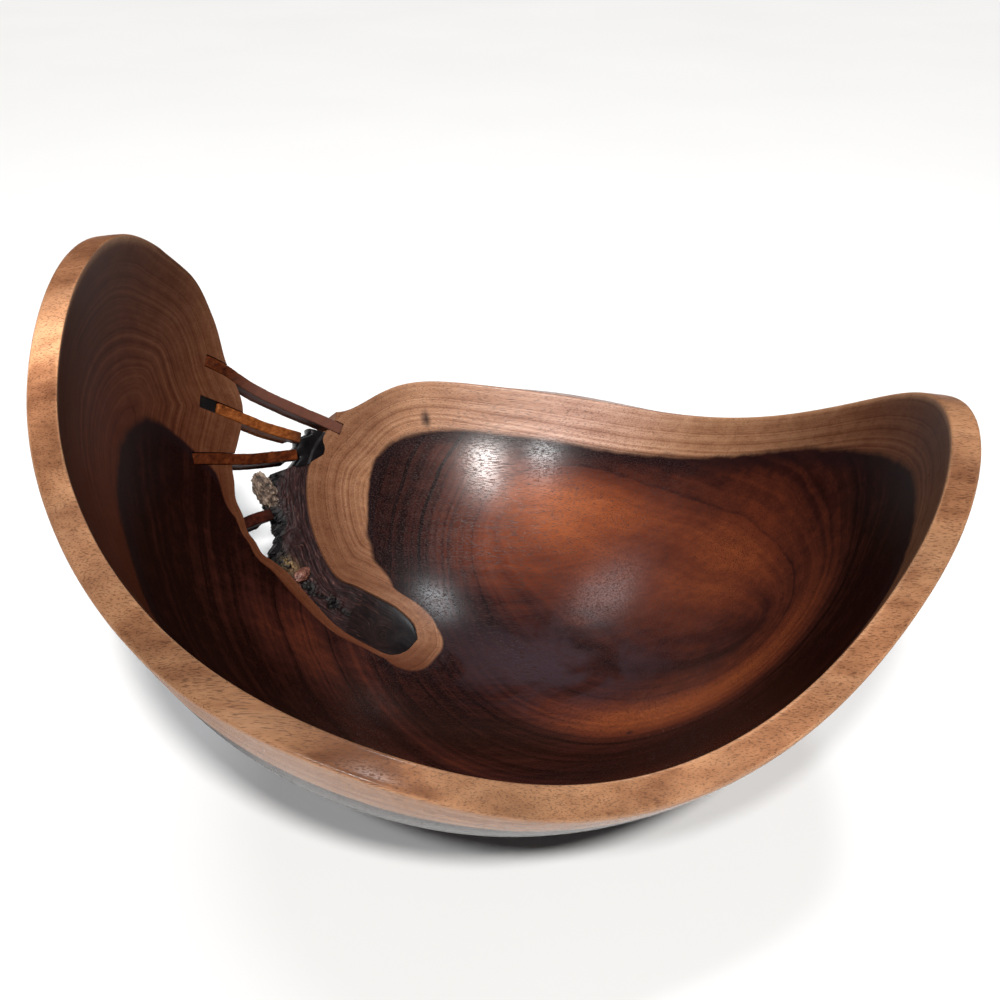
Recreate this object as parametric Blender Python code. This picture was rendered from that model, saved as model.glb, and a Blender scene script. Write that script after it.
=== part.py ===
"""Natural-edge wooden bowl, turned from half a log, with a bark seam bridged by wooden stitches.

Units are metres, +Z is up and +X runs along the log. The origin is the centre of the flat foot.
Azimuth 0 faces -Y and grows towards +X. A place on the wall is its azimuth in degrees, its height on
the inner face in millimetres, and its depth from the inner face outwards in metres.
"""
import math

import bmesh
import bpy
from mathutils import Matrix, Vector, noise

MM = 0.001
GAP = 0.0003

# The turned shape. The first station mirrors the third, so that the floor is level at its centre.
WALL = 0.013
FOOT_RADIUS = 0.048
FOOT_FLARE = 0.004
FOOT_HEIGHT = 0.0076
BLANK_SEGMENTS = 80
INNER_PROFILE = (
    (-45, 19), (0, 13), (45, 19), (78, 32.5), (107, 52), (131, 75), (151, 100.5),
    (168.5, 134), (182, 167), (187, 198), (182.5, 235), (172, 270),
)
FLOOR_CENTRE = 1.0
PROFILE_TOP = len(INNER_PROFILE) - 1.0

# The log's outside, which the rim follows.
LOG_UNIT = 0.2
LOG_RIDGE = 0.212
CLEFT_AZIMUTH = -140.0
CLEFT_BACK_WIDTH = 14.0
CLEFT_WING_WIDTH = 8.0
CLEFT_DEPTH = 0.050

# The open seam: matching points of its wing side and its back side, from the tip up to the rim.
SEAM_WING_SIDE = (
    (-130, 25.5), (-120, 25), (-112, 27), (-109.5, 32), (-108, 42), (-109.5, 53), (-110.5, 66),
    (-109.5, 80), (-111, 95), (-116, 114), (-124, 135), (-124.6, 160), (-124.8, 182),
    (-122.2, 206), (-115, 229),
)
SEAM_BACK_SIDE = (
    (-130, 25.5), (-134, 29), (-133, 35), (-130, 40), (-126, 47), (-122.5, 54), (-124, 67),
    (-127, 80), (-131, 93), (-135.5, 104), (-139.5, 110), (-143, 117), (-146, 145),
    (-148, 175), (-152, 210),
)
SEAM_TIP = 0.05
SEAM_TOP = len(SEAM_WING_SIDE) - 1.0
POOL_TOP = 3.7
BARK_BOTTOM = 3.74
BARK_TOP = 8.5
PLUG_BOTTOM = 8.6
PLUG_TOP = 9.95
BARK_FREE_EDGE = ((3.7, 0.012), (6.3, 0.012), (6.6, 0.2), (6.9, 0.52), (7.3, 0.60), (7.9, 0.50), (8.5, 0.66))

# The stitches: centre lines on the wall, from the wing to the back.
STITCH_WIDTH = 0.0062
STITCH_THICKNESS = 0.006
STITCHES = {
    "stitch_upper": ((-120.5, 165), (-123.7, 156.5), (-127.5, 143.5), (-133.5, 128.5), (-143, 109)),
    "stitch_second": ((-118.9, 142.0), (-123.3, 131.6), (-127.9, 121.7), (-133.6, 111.9)),
    "stitch_third": ((-108, 129.3), (-118, 116.5), (-123.8, 110.7), (-131.3, 105.3)),
    "stitch_lower": ((-106.5, 95), (-110.5, 92.5), (-115.5, 90), (-119.5, 88)),
}
LOWER_STITCH_DEPTH = 0.0035
WING_PLUG_LINE = ((-115.9, 149.2), (-118.6, 142.9))
SLOT_OPENING = 0.006


def clear_scene():
    for item in list(bpy.data.objects):
        bpy.data.objects.remove(item)


def smooth_point(points, position):
    """Point on the Catmull-Rom curve through points; position counts the points passed."""
    last = len(points) - 1
    index = min(max(int(position), 0), last - 1)
    t = position - index
    before, start, end, after = (Vector(points[min(max(index + step, 0), last)]) for step in (-1, 0, 1, 2))
    return 0.5 * (
        2 * start + (end - before) * t
        + (2 * before - 5 * start + 4 * end - after) * t ** 2
        + (3 * start - before - 3 * end + after) * t ** 3
    )


def steps(first, last, count):
    """count + 1 evenly spaced values from first to last."""
    return [first + (last - first) * index / count for index in range(count + 1)]


def interpolate(pairs, value):
    """Straight-line interpolation through (place, result) pairs."""
    for (place, result), (next_place, next_result) in zip(pairs, pairs[1:]):
        if value <= next_place:
            share = max(0.0, (value - place) / (next_place - place))
            return result + share * (next_result - result)
    return pairs[-1][1]


# ---------------------------------------------------------------- the turned wall

def profile_point(position, depth):
    """Radius and height of the wall's section at a station and a depth below the inner face."""
    radius, height = smooth_point(INNER_PROFILE, position)
    ahead = smooth_point(INNER_PROFILE, min(position + 0.01, PROFILE_TOP))
    behind = smooth_point(INNER_PROFILE, position - 0.01)
    along = (ahead - behind).normalized()
    return Vector((radius * MM + along.y * depth, height * MM - along.x * depth))


def station_at(height):
    """Station at which the inner face reaches a height in millimetres."""
    low, high = FLOOR_CENTRE, PROFILE_TOP
    for _ in range(40):
        middle = (low + high) / 2
        if smooth_point(INNER_PROFILE, middle)[1] < height:
            low = middle
        else:
            high = middle
    return low


def wall_point(azimuth, height, depth):
    radius, level = profile_point(station_at(height), depth)
    angle = math.radians(azimuth)
    return Vector((radius * math.sin(angle), -radius * math.cos(angle), level))


def log_height(x, y):
    """Height of the log's outside: a ridge along X, a fall to both sides, a twist and the seam's cleft."""
    u, v = x / LOG_UNIT, y / LOG_UNIT
    ridge = LOG_RIDGE - 0.049 * u + 0.020 * u ** 2 + 0.025 * u ** 3 - 0.023 * u ** 4
    fall = 0.003 * v - 0.233 * v ** 2 + 0.007 * v ** 3 + 0.121 * v ** 4
    twist = u * v * (-0.074 + 0.037 * u - 0.016 * v - 0.082 * u * v + 0.174 * v ** 2)
    azimuth = math.degrees(math.atan2(x, -y))
    half_width = CLEFT_BACK_WIDTH if azimuth < CLEFT_AZIMUTH else CLEFT_WING_WIDTH
    cleft = CLEFT_DEPTH * math.exp(-((azimuth - CLEFT_AZIMUTH) / half_width) ** 2)
    return ridge + fall + twist - cleft


# ---------------------------------------------------------------- mesh helpers

def add_object(name, mesh_builder):
    mesh = bpy.data.meshes.new(name)
    bmesh.ops.recalc_face_normals(mesh_builder, faces=mesh_builder.faces)
    mesh_builder.to_mesh(mesh)
    mesh_builder.free()
    item = bpy.data.objects.new(name, mesh)
    bpy.context.scene.collection.objects.link(item)
    return item


def sweep(name, sections):
    """Closed solid through four-cornered sections."""
    builder = bmesh.new()
    rings = [[builder.verts.new(corner) for corner in section] for section in sections]
    builder.faces.new(rings[0])
    builder.faces.new(rings[-1])
    for ring, following in zip(rings, rings[1:]):
        for index in range(4):
            other = (index + 1) % 4
            builder.faces.new((ring[index], ring[other], following[other], following[index]))
    bmesh.ops.triangulate(builder, faces=builder.faces)
    return add_object(name, builder)


def as_cutter(item):
    item.hide_render = True
    item.display_type = "WIRE"
    return item


def cut(item, cutter):
    modifier = item.modifiers.new("cut_" + cutter.name, "BOOLEAN")
    modifier.operation = "DIFFERENCE"
    modifier.solver = "EXACT"
    modifier.object = as_cutter(cutter)


def shade(item, sharp_angle):
    item.data.shade_smooth()
    item.data.set_sharp_from_angle(angle=math.radians(sharp_angle))


def finish(item, colour, roughness):
    material = bpy.data.materials.new(item.name)
    material.use_nodes = True
    shader = material.node_tree.nodes["Principled BSDF"]
    shader.inputs["Base Color"].default_value = (*colour, 1.0)
    shader.inputs["Roughness"].default_value = roughness
    shader.inputs["Metallic"].default_value = 0.0
    item.data.materials.append(material)


# ---------------------------------------------------------------- the bowl

def turned_blank():
    """Section of the whole blank, run up the inside and down the outside, and turned with a Screw."""
    stations = steps(FLOOR_CENTRE, PROFILE_TOP, 20)
    inside = [profile_point(station, 0.0) for station in stations]
    outside = [profile_point(station, WALL) for station in reversed(stations)]
    outside = [point for point in outside if point.x > FOOT_RADIUS + 3 * FOOT_FLARE]
    foot = [
        Vector((FOOT_RADIUS + FOOT_FLARE, FOOT_HEIGHT)),
        Vector((FOOT_RADIUS + 0.2 * FOOT_FLARE, 0.55 * FOOT_HEIGHT)),
        Vector((FOOT_RADIUS, 0.0)),
        Vector((0.0, 0.0)),
    ]
    inside[0].x = 0.0
    builder = bmesh.new()
    corners = [builder.verts.new((point.x, 0.0, point.y)) for point in inside + outside + foot]
    for start, end in zip(corners, corners[1:]):
        builder.edges.new((start, end))
    bowl = add_object("bowl", builder)
    screw = bowl.modifiers.new("turn", "SCREW")
    screw.axis = "Z"
    screw.angle = math.tau
    screw.steps = BLANK_SEGMENTS
    screw.render_steps = BLANK_SEGMENTS
    screw.use_merge_vertices = True
    screw.merge_threshold = 0.00001
    return bowl


def outside_of_log():
    """Everything above the log's outside, which is not wood."""
    builder = bmesh.new()
    bmesh.ops.create_grid(builder, x_segments=26, y_segments=26, size=0.216)
    for corner in builder.verts:
        corner.co.z = log_height(corner.co.x, corner.co.y)
    bmesh.ops.triangulate(builder, faces=builder.faces)
    raised = bmesh.ops.extrude_face_region(builder, geom=builder.faces[:])
    for item in raised["geom"]:
        if isinstance(item, bmesh.types.BMVert):
            item.co.z = 0.32
    return add_object("outside_of_log", builder)


# ---------------------------------------------------------------- the seam and what fills it

def seam_point(along, across, depth):
    """Point in the seam: along counts its stations, across runs from the wing side to the back side."""
    wing = smooth_point(SEAM_WING_SIDE, along)
    back = smooth_point(SEAM_BACK_SIDE, along)
    place = wing.lerp(back, across)
    return wall_point(place[0], place[1], depth)


def seam_section(along, near, far, top, bottom):
    corners = ((near, top), (far, top), (far, bottom), (near, bottom))
    return [seam_point(along, across, depth) for across, depth in corners]


def open_seam():
    places = steps(SEAM_TIP, SEAM_TOP, 42)
    return sweep("open_seam", [seam_section(along, 0.0, 1.0, -0.012, 0.034) for along in places])


def resin_pool():
    places = steps(SEAM_TIP + 0.06, POOL_TOP, 12)
    return sweep("seam_resin", [seam_section(along, 0.03, 0.97, 0.0016, 0.0125) for along in places])


def bark_seam():
    sections = []
    for along in steps(BARK_BOTTOM, BARK_TOP, 20):
        free_edge = interpolate(BARK_FREE_EDGE, along)
        sections.append(seam_section(along, free_edge, 0.985, 0.0011, 0.0125))
    return sweep("bark_seam", sections)


def back_plug():
    """Black resin between the seam's back side and the ends of the second and third stitches."""
    places = steps(PLUG_BOTTOM, PLUG_TOP, 6)
    return sweep("back_resin", [seam_section(along, 0.885, 0.985, 0.0012, 0.0115) for along in places])


def lump(name, azimuth, height, depth, radii, seed):
    """Rough rounded lump; its radii run round the bowl, up the wall and through the wall."""
    builder = bmesh.new()
    bmesh.ops.create_icosphere(builder, subdivisions=3, radius=1.0)
    centre = wall_point(azimuth, height, depth)
    through = (wall_point(azimuth, height, depth + 0.001) - centre).normalized()
    around = (wall_point(azimuth + 0.1, height, depth) - centre).normalized()
    up = through.cross(around).normalized()
    axes = Matrix((around, up, through)).transposed()
    for corner in builder.verts:
        swell = 1.0 + 0.14 * noise.noise(corner.co * 1.7 + Vector((seed, seed, seed)))
        local = Vector([size * part * swell for size, part in zip(radii, corner.co)])
        corner.co = centre + axes @ local
    return add_object(name, builder)


# ---------------------------------------------------------------- the stitches

def bar_sections(line, count, width, top, bottom, spare=0.0):
    """Sections of a bar let into the wall along a line, with spare length added at both ends."""
    last = len(line) - 1.0
    places = [smooth_point(line, position) for position in steps(0.0, last, count)]
    sections = []
    for index, place in enumerate(places):
        behind = places[max(index - 1, 0)]
        ahead = places[min(index + 1, count)]
        centre = wall_point(place[0], place[1], top)
        through = (wall_point(place[0], place[1], bottom) - centre)
        along = (wall_point(ahead[0], ahead[1], top) - wall_point(behind[0], behind[1], top)).normalized()
        side = through.cross(along).normalized() * (width / 2)
        end_shift = along * spare * ((index == count) - (index == 0))
        sections.append([
            centre + end_shift + side, centre + end_shift - side,
            centre + end_shift - side + through, centre + end_shift + side + through,
        ])
    return sections


def stitch_depths(name):
    top = LOWER_STITCH_DEPTH if name == "stitch_lower" else GAP
    return top, top + STITCH_THICKNESS


def stitch(name):
    top, bottom = stitch_depths(name)
    return sweep(name, bar_sections(STITCHES[name], 8, STITCH_WIDTH, top, bottom))


def slot(name, line):
    """Room for a stitch: open to the inside of the bowl, except the lower one's blind mortise."""
    top, bottom = stitch_depths(name)
    opening = top - GAP if name == "stitch_lower" else -SLOT_OPENING
    sections = bar_sections(line, 8, STITCH_WIDTH + 2 * GAP, opening, bottom + GAP, spare=GAP)
    return sweep("slot_for_" + name, sections)


def wing_plug():
    """Black resin that fills the second stitch's slot beyond its end."""
    return sweep("wing_resin", bar_sections(WING_PLUG_LINE, 2, STITCH_WIDTH, 0.0009, 0.006))


# ---------------------------------------------------------------- assembly

def build():
    clear_scene()
    bowl = turned_blank()
    cut(bowl, outside_of_log())
    cut(bowl, open_seam())
    stitches = {}
    for name, line in STITCHES.items():
        stitches[name] = stitch(name)
        whole_line = WING_PLUG_LINE[:1] + line if name == "stitch_second" else line
        cut(bowl, slot(name, whole_line))
    plug = wing_plug()

    bark = bark_seam()
    nodule_size = Vector((0.0052, 0.0034, 0.0030))
    nodule = lump("burl_nodule", -114.2, 62.5, 0.0011, nodule_size, 4)
    cut(bark, lump("nodule_hollow", -114.2, 62.5, 0.0011, nodule_size * 1.09, 4))
    flake = lump("bark_flake", -119.4, 98.0, 0.0062, Vector((0.0046, 0.0082, 0.0050)), 9)
    pool = resin_pool()
    filler = back_plug()

    shade(bowl, 35)
    for item in (nodule, flake):
        shade(item, 60)
    finish(bowl, (0.23, 0.085, 0.035), 0.28)
    finish(bark, (0.06, 0.028, 0.022), 0.75)
    finish(pool, (0.012, 0.008, 0.008), 0.15)
    finish(filler, (0.012, 0.009, 0.009), 0.35)
    finish(plug, (0.012, 0.009, 0.009), 0.35)
    finish(nodule, (0.20, 0.065, 0.035), 0.45)
    finish(flake, (0.20, 0.15, 0.10), 0.9)
    finish(stitches["stitch_upper"], (0.22, 0.075, 0.030), 0.4)
    finish(stitches["stitch_second"], (0.36, 0.14, 0.050), 0.4)
    finish(stitches["stitch_third"], (0.20, 0.060, 0.028), 0.4)
    finish(stitches["stitch_lower"], (0.15, 0.035, 0.022), 0.4)


build()
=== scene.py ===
"""Looks of the natural-edge wooden bowl: fine meshes with procedural wood, bark and resin.

Units are metres in the CAD's frame: the foot's centre is the origin, +Z is up and +X runs along the log.
A place on the wall is an azimuth in degrees (0 faces -Y and grows towards +X), a height on the inner
face in millimetres, and a depth from the inner face outwards in metres.
"""
import math

import bmesh
import bpy
import numpy as np
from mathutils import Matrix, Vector, noise


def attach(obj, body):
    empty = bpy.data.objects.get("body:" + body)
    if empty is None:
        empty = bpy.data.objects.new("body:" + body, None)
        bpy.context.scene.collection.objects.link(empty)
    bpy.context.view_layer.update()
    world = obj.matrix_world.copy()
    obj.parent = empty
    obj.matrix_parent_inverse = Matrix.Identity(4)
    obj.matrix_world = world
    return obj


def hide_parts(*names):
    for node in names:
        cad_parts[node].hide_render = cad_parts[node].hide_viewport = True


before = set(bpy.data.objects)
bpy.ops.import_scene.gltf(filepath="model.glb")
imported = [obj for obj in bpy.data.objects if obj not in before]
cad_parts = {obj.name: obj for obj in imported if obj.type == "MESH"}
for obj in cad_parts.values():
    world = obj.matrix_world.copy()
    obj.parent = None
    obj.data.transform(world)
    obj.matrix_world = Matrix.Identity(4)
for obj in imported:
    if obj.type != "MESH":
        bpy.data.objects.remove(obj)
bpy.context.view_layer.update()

MM = 0.001

# The turned shape and the log, as in the CAD.
WALL = 0.013
FOOT_RADIUS = 0.048
FOOT_FLARE = 0.004
INNER_PROFILE = (
    (-45, 19), (0, 13), (45, 19), (78, 32.5), (107, 52), (131, 75), (151, 100.5),
    (168.5, 134), (182, 167), (187, 198), (182.5, 235), (172, 270),
)
FLOOR_CENTRE = 1.0
PROFILE_TOP = len(INNER_PROFILE) - 1.0
LOG_UNIT = 0.2
LOG_RIDGE = 0.212
CLEFT_AZIMUTH = -140.0
CLEFT_BACK_WIDTH = 14.0
CLEFT_WING_WIDTH = 8.0
CLEFT_DEPTH = 0.05

# Fineness and softened corners of the bowl's mesh, and the section of its foot in millimetres.
COLUMNS = 360
INNER_ROWS = 92
OUTER_ROWS = 66
RIM_ROWS = 9
ARRIS_SHARES = (0.2, 0.4, 0.6, 0.8)
INNER_ARRIS = 0.0016
OUTER_ARRIS = 0.0022
FOOT_SECTION = ((52, 7.6), (49.8, 5.7), (48.7, 3.4), (48, 1.2), (47.5, 0.3), (46.6, 0))
FOOT_FLARE_ROWS = 16
FOOT_FLAT_ROWS = 60
FOOT_HOLE = 0.0015
FOOT_GROOVE_PITCH = 0.0075
FOOT_GROOVE_DEPTH = 0.0003

# The open seam: matching points of its wing side and its back side, from the tip up to the rim.
SEAM_WING_SIDE = (
    (-130, 25.5), (-120, 25), (-112, 27), (-109.5, 32), (-108, 42), (-109.5, 53), (-110.5, 66),
    (-109.5, 80), (-111, 95), (-116, 114), (-124, 135), (-124.6, 160), (-124.8, 182),
    (-122.2, 206), (-115, 229),
)
SEAM_BACK_SIDE = (
    (-130, 25.5), (-134, 29), (-133, 35), (-130, 40), (-126, 47), (-122.5, 54), (-124, 67),
    (-127, 80), (-131, 93), (-135.5, 104), (-139.5, 110), (-143, 117), (-146, 145),
    (-148, 175), (-152, 210),
)
SEAM_TIP = 0.05
SEAM_TOP = len(SEAM_WING_SIDE) - 1.0
SEAM_ROUNDING = 0.0011
SEAM_ROUNDING_DEPTH = 0.0016
SEAM_CUT_DEPTHS = (-12, 0, 0.25, 0.6, 1.1, 1.6, 4, 6.5, 9, 11.4, 11.9, 12.4, 12.75, 13, 34)
SEAM_CUT_STEPS = 190

# What fills the seam, by its stations: the pool's face lies some millimetres deep and creeps up at its
# edges, and the bark's free edge is given as (station, share of the seam's width).
POOL_TOP = 3.74
POOL_FACE_DEPTH = 1.5
POOL_CREEP = 0.4
BARK_BOTTOM = 3.7
BARK_TOP = 8.58
PLUG_BOTTOM = 8.5
PLUG_TOP = 9.98
PLUG_SMEAR = 0.16
BARK_FREE_EDGE = ((3.7, 0), (6.3, 0), (6.6, 0.2), (6.9, 0.52), (7.3, 0.6), (7.9, 0.5), (8.6, 0.66))

# Features of the bark, as places on the wall: azimuth and height, and a knot's radius in metres.
BARK_KNOTS = ((-119.5, 75.5, 0.0052), (-119.3, 31.5, 0.0085))
BARK_CRACK = ((-112.2, 60), (-112.6, 55), (-115, 50), (-115.5, 44), (-117, 41))
CRUMBLE_CENTRES = ((-115, 82), (-113.4, 75), (-117, 89), (-113, 70), (-113, 57), (-115.2, 48))
FIBRE_CENTRE = (-113.2, 68)

# The stitches: centre lines on the wall, from the wing to the back.
STITCH_WIDTH = 0.0062
STITCH_THICKNESS = 0.006
STITCH_TOP = 0.00005
LOWER_STITCH_DEPTH = 0.0035
STITCHES = {
    "stitch_upper": ((-120.5, 165), (-123.7, 156.5), (-127.5, 143.5), (-133.5, 128.5), (-143, 109)),
    "stitch_second": ((-118.9, 142.0), (-123.3, 131.6), (-127.9, 121.7), (-133.6, 111.9)),
    "stitch_third": ((-108, 129.3), (-118, 116.5), (-123.8, 110.7), (-131.3, 105.3)),
    "stitch_lower": ((-106.5, 95), (-110.5, 92.5), (-115.5, 90), (-119.5, 88)),
}
WING_PLUG_LINE = ((-115.9, 149.2), (-118.6, 142.9))
SLOT_CLEARANCE = 0.00022
STITCH_SAG = 0.0024
STITCH_END_GAP = 0.00006
SLOT_OPENING = 0.006

# How far the pale sapwood reaches: millimetres below the log's outside by azimuth, and the width of the
# pale border on each side of the seam, in millimetres by the seam's stations.
SAPWOOD = (
    (-180, 32), (-167, 35), (-161, 39), (-155, 38), (-148, 36), (-144, 52), (-139, 90), (-135, 110),
    (-118, 165), (-111, 125), (-108, 96), (-104, 87.5), (-92, 86), (-83, 82), (-78, 78), (-72, 71),
    (-64, 57), (-57, 41), (-45, 32), (-20, 28), (30, 20), (60, 12), (70, 26), (77, 33), (95, 33),
    (104, 31), (116, 24), (133, 28), (158, 30), (180, 32),
)
BACK_BORDER = (
    (0, 13), (0.9, 11.5), (2.3, 8.6), (3.3, 11), (3.8, 18), (5.8, 30), (7.2, 33), (8.6, 30), (14, 28),
)
WING_BORDER = (
    (0, 14), (0.9, 14), (1.4, 10), (2.0, 3.5), (3.2, 3), (4.7, 6.5), (5.8, 8), (7.5, 5), (8, 6),
    (9, 13), (10, 22),
)

# By azimuth: how much painted shade turns the sapwood brown on the inner face where it faces away from the
# light, and the painted light and shade on the rim, with a painted highlight near -83 degrees.
SAPWOOD_PAINTED_SHADE = (
    (-180, 0), (-150, 0), (-135, 0.6), (-120, 0.85), (-105, 0.95), (-95, 1), (-60, 1), (-40, 0.6),
    (60, 0.6), (85, 0.9), (105, 0.8), (125, 0.35), (150, 0), (180, 0),
)
# Painted light and shade along the rim by azimuth, with a painted highlight near -83 degrees.
RIM_PAINTED_LIGHT = (
    (-180, 1.15), (-120, 1.2), (-96, 1.2), (-90, 1.25), (-83, 2.6), (-76, 1.3), (-72, 1), (-61, 1.08),
    (-51, 0.68), (-39, 0.64), (-25, 0.8), (-13, 1.15), (0, 0.7), (12, 0.92), (27, 1.28), (43, 1.13),
    (56, 1.1), (68, 0.83), (79, 1.1), (110, 1.1), (180, 1.15),
)

# Warm patches of the heartwood, in plan: x, y, half-length, half-width in millimetres, turn in degrees
# and strength.
WARM_PATCHES = (
    (30, 118, 58, 17, -19, 0.62),
    (18, 96, 66, 30, -19, 0.36),
    (108, 50, 40, 42, 0, 0.36),
    (60, 70, 60, 40, -30, 0.12),
    (-105, 6, 34, 24, 0, 0.26),
    (-60, -16, 50, 26, 20, 0.05),
    (-30, -62, 60, 22, 0, 0.14),
    (-16, 93, 22, 18, 0, 0.12),
    (128, 38, 22, 34, 0, 0.14),
)

# Other patches of the same kind: a painted sheen that whitens the sapwood at the back, and a painted
# purple-grey haze of reflection on the floor of the bowl.
# A painted sheen: a whitish reflection over the sapwood at the back.
PAINTED_SHEEN_PATCH = (38, 150, 66, 26, 0, 0.85)
# A painted haze: a purple-grey reflection over the floor of the bowl.
PAINTED_HAZE_PATCH = (22, 28, 62, 30, -10, 0.9)

# Pinhead knots in plan (x, y and size), and the two places that the heartwood's rings go round.
SMALL_KNOTS = ((-48, 146, 2.6), (57, -36, 1.6))
RING_FOCI = ((0, 112), (118, 4))
WARM_RING = 107.0
WARM_RING_WIDTH = 13.0
WARM_RING_PATCH = (80, -22, 74, 44, 0, 0.75)

# The polish is highest over the middle of the bowl, and fades towards both ends (millimetres along X).
GLOSS_CENTRE = 8
GLOSS_FADE = (80, 125)
GLOSS_LOSS = 0.85

# Millimetres over which the growth layers turn from the log's outside to the seam.
LAYER_BLEND = 4.0


# ------------ the turned wall, in arrays

def curve(points, position):
    """Points on the Catmull-Rom curve through points; position counts the points passed."""
    points = np.asarray(points, float)
    position = np.asarray(position, float)
    last = len(points) - 1
    index = np.clip(position.astype(int), 0, last - 1)
    t = (position - index)[..., None]
    before, start, end, after = (points[np.clip(index + step, 0, last)] for step in (-1, 0, 1, 2))
    return 0.5 * (
        2 * start + (end - before) * t
        + (2 * before - 5 * start + 4 * end - after) * t ** 2
        + (3 * start - before - 3 * end + after) * t ** 3
    )


def section(station, depth):
    """Radius and height of the wall's section at a station and a depth below the inner face."""
    here = curve(INNER_PROFILE, station) * MM
    ahead = curve(INNER_PROFILE, np.minimum(np.asarray(station) + 0.01, PROFILE_TOP))
    along = ahead - curve(INNER_PROFILE, np.asarray(station) - 0.01)
    along /= np.linalg.norm(along, axis=-1, keepdims=True)
    return here[..., 0] + along[..., 1] * depth, here[..., 1] - along[..., 0] * depth


def wall(azimuth, station, depth):
    """The wall's point at an azimuth, a station of the profile and a depth."""
    radius, height = section(station, depth)
    angle = np.radians(azimuth)
    return np.stack([radius * np.sin(angle), -radius * np.cos(angle), height + 0 * angle], axis=-1)


STATIONS = np.linspace(FLOOR_CENTRE, PROFILE_TOP, 4000)
STATION_HEIGHTS = curve(INNER_PROFILE, STATIONS)[:, 1]
HALVINGS = 36
POINTS_AT_ONCE = 4000


def wall_place(azimuth, height, depth):
    """The wall's point at an azimuth, a height on the inner face in millimetres, and a depth."""
    return wall(np.asarray(azimuth, float), np.interp(height, STATION_HEIGHTS, STATIONS), depth)


def log_height(x, y):
    """Height of the log's outside: a ridge along X, a fall to both sides, a twist and the seam's cleft."""
    u = x / LOG_UNIT
    v = y / LOG_UNIT
    ridge = LOG_RIDGE - 0.049 * u + 0.02 * u ** 2 + 0.025 * u ** 3 - 0.023 * u ** 4
    fall = 0.003 * v - 0.233 * v ** 2 + 0.007 * v ** 3 + 0.121 * v ** 4
    twist = u * v * (-0.074 + 0.037 * u - 0.016 * v - 0.082 * u * v + 0.174 * v ** 2)
    azimuth = np.degrees(np.arctan2(x, -y))
    half_width = np.where(azimuth < CLEFT_AZIMUTH, CLEFT_BACK_WIDTH, CLEFT_WING_WIDTH)
    return ridge + fall + twist - CLEFT_DEPTH * np.exp(-((azimuth - CLEFT_AZIMUTH) / half_width) ** 2)


def rim_station(azimuth, depth):
    """Station at which the wall meets the log's outside, at a depth below the inner face."""
    low = np.full(len(azimuth), 4.0)
    high = np.full(len(azimuth), PROFILE_TOP)
    for _ in range(HALVINGS):
        middle = (low + high) / 2
        place = wall(azimuth, middle, depth)
        in_wood = place[:, 2] < log_height(place[:, 0], place[:, 1])
        low = np.where(in_wood, middle, low)
        high = np.where(in_wood, high, middle)
    return low


def pitch(station, depth):
    """Metres of section in one station."""
    ahead = np.stack(section(station + 0.05, depth))
    behind = np.stack(section(station - 0.05, depth))
    return np.linalg.norm(ahead - behind, axis=0) / 0.1


def rise(value, low, high):
    """0 below low and 1 above high, with a smooth rise between them."""
    share = np.clip((np.asarray(value, float) - low) / (high - low), 0.0, 1.0)
    return share * share * (3 - 2 * share)


def table(pairs, value):
    """Straight-line reading of a table of (place, result)."""
    places, results = np.array(pairs, float).T
    return np.interp(value, places, results)


# ------------ meshes

def link(name, data):
    item = bpy.data.objects.new(name, data)
    bpy.context.scene.collection.objects.link(item)
    return item


def add_mesh(name, points, faces):
    mesh = bpy.data.meshes.new(name)
    mesh.from_pydata(np.asarray(points, float).tolist(), [], faces)
    builder = bmesh.new()
    builder.from_mesh(mesh)
    bmesh.ops.recalc_face_normals(builder, faces=builder.faces)
    builder.to_mesh(mesh)
    builder.free()
    return link(name, mesh)


def tube(name, rings, first, last):
    """Closed mesh through rings of points, shut by a fan round the first point and one round the last."""
    rings = np.asarray(rings)
    count, around = rings.shape[:2]
    points = np.concatenate([rings.reshape(-1, 3), [first, last]])
    here = np.arange(around)
    following = (here + 1) % around
    faces = []
    for ring in range(count - 1):
        start = ring * around
        above = start + around
        faces += np.stack([start + here, start + following, above + following, above + here], 1).tolist()
    end = (count - 1) * around
    faces += np.stack([np.full(around, count * around), following, here], 1).tolist()
    faces += np.stack([np.full(around, count * around + 1), end + here, end + following], 1).tolist()
    return add_mesh(name, points, faces)


def loft(name, rings):
    """Closed mesh through rings of points, with a flat fan at each end."""
    return tube(name, rings, rings[0].mean(axis=0), rings[-1].mean(axis=0))


def corners(item):
    """The mesh's points as an array."""
    places = np.zeros(len(item.data.vertices) * 3)
    item.data.vertices.foreach_get("co", places)
    return places.reshape(-1, 3)


def give(item, name, values):
    """Keeps one number for each point of the mesh, which the materials read by name."""
    layer = item.data.attributes.new(name, "FLOAT", "POINT")
    layer.data.foreach_set("value", np.asarray(values, np.float32))


def give_rings(item, name, values):
    """The same for a mesh made by tube: its two middle points take the first and the last value."""
    flat = values.reshape(-1)
    give(item, name, np.concatenate([flat, flat[:1], flat[-1:]]))


def combine(item, tools, operation):
    """Booleans the tools into the item, applies them and removes them."""
    for tool in tools:
        modifier = item.modifiers.new(tool.name, "BOOLEAN")
        modifier.operation = operation
        modifier.solver = "EXACT"
        modifier.object = tool
        bpy.context.view_layer.update()
        evaluated = item.evaluated_get(bpy.context.evaluated_depsgraph_get())
        combined = bpy.data.meshes.new_from_object(evaluated)
        item.modifiers.clear()
        item.data = combined
        bpy.data.objects.remove(tool)


def roughness_noise(points, size, seed, octaves=4):
    """Fractal noise at an array of points, with features about size metres wide."""
    shift = Vector((seed, 2.3 * seed, 5.1 * seed))
    places = points.reshape(-1, 3)
    values = [noise.fractal(Vector(place) / size + shift, 1.0, 2.0, octaves) for place in places]
    return np.array(values).reshape(points.shape[:-1])


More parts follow.
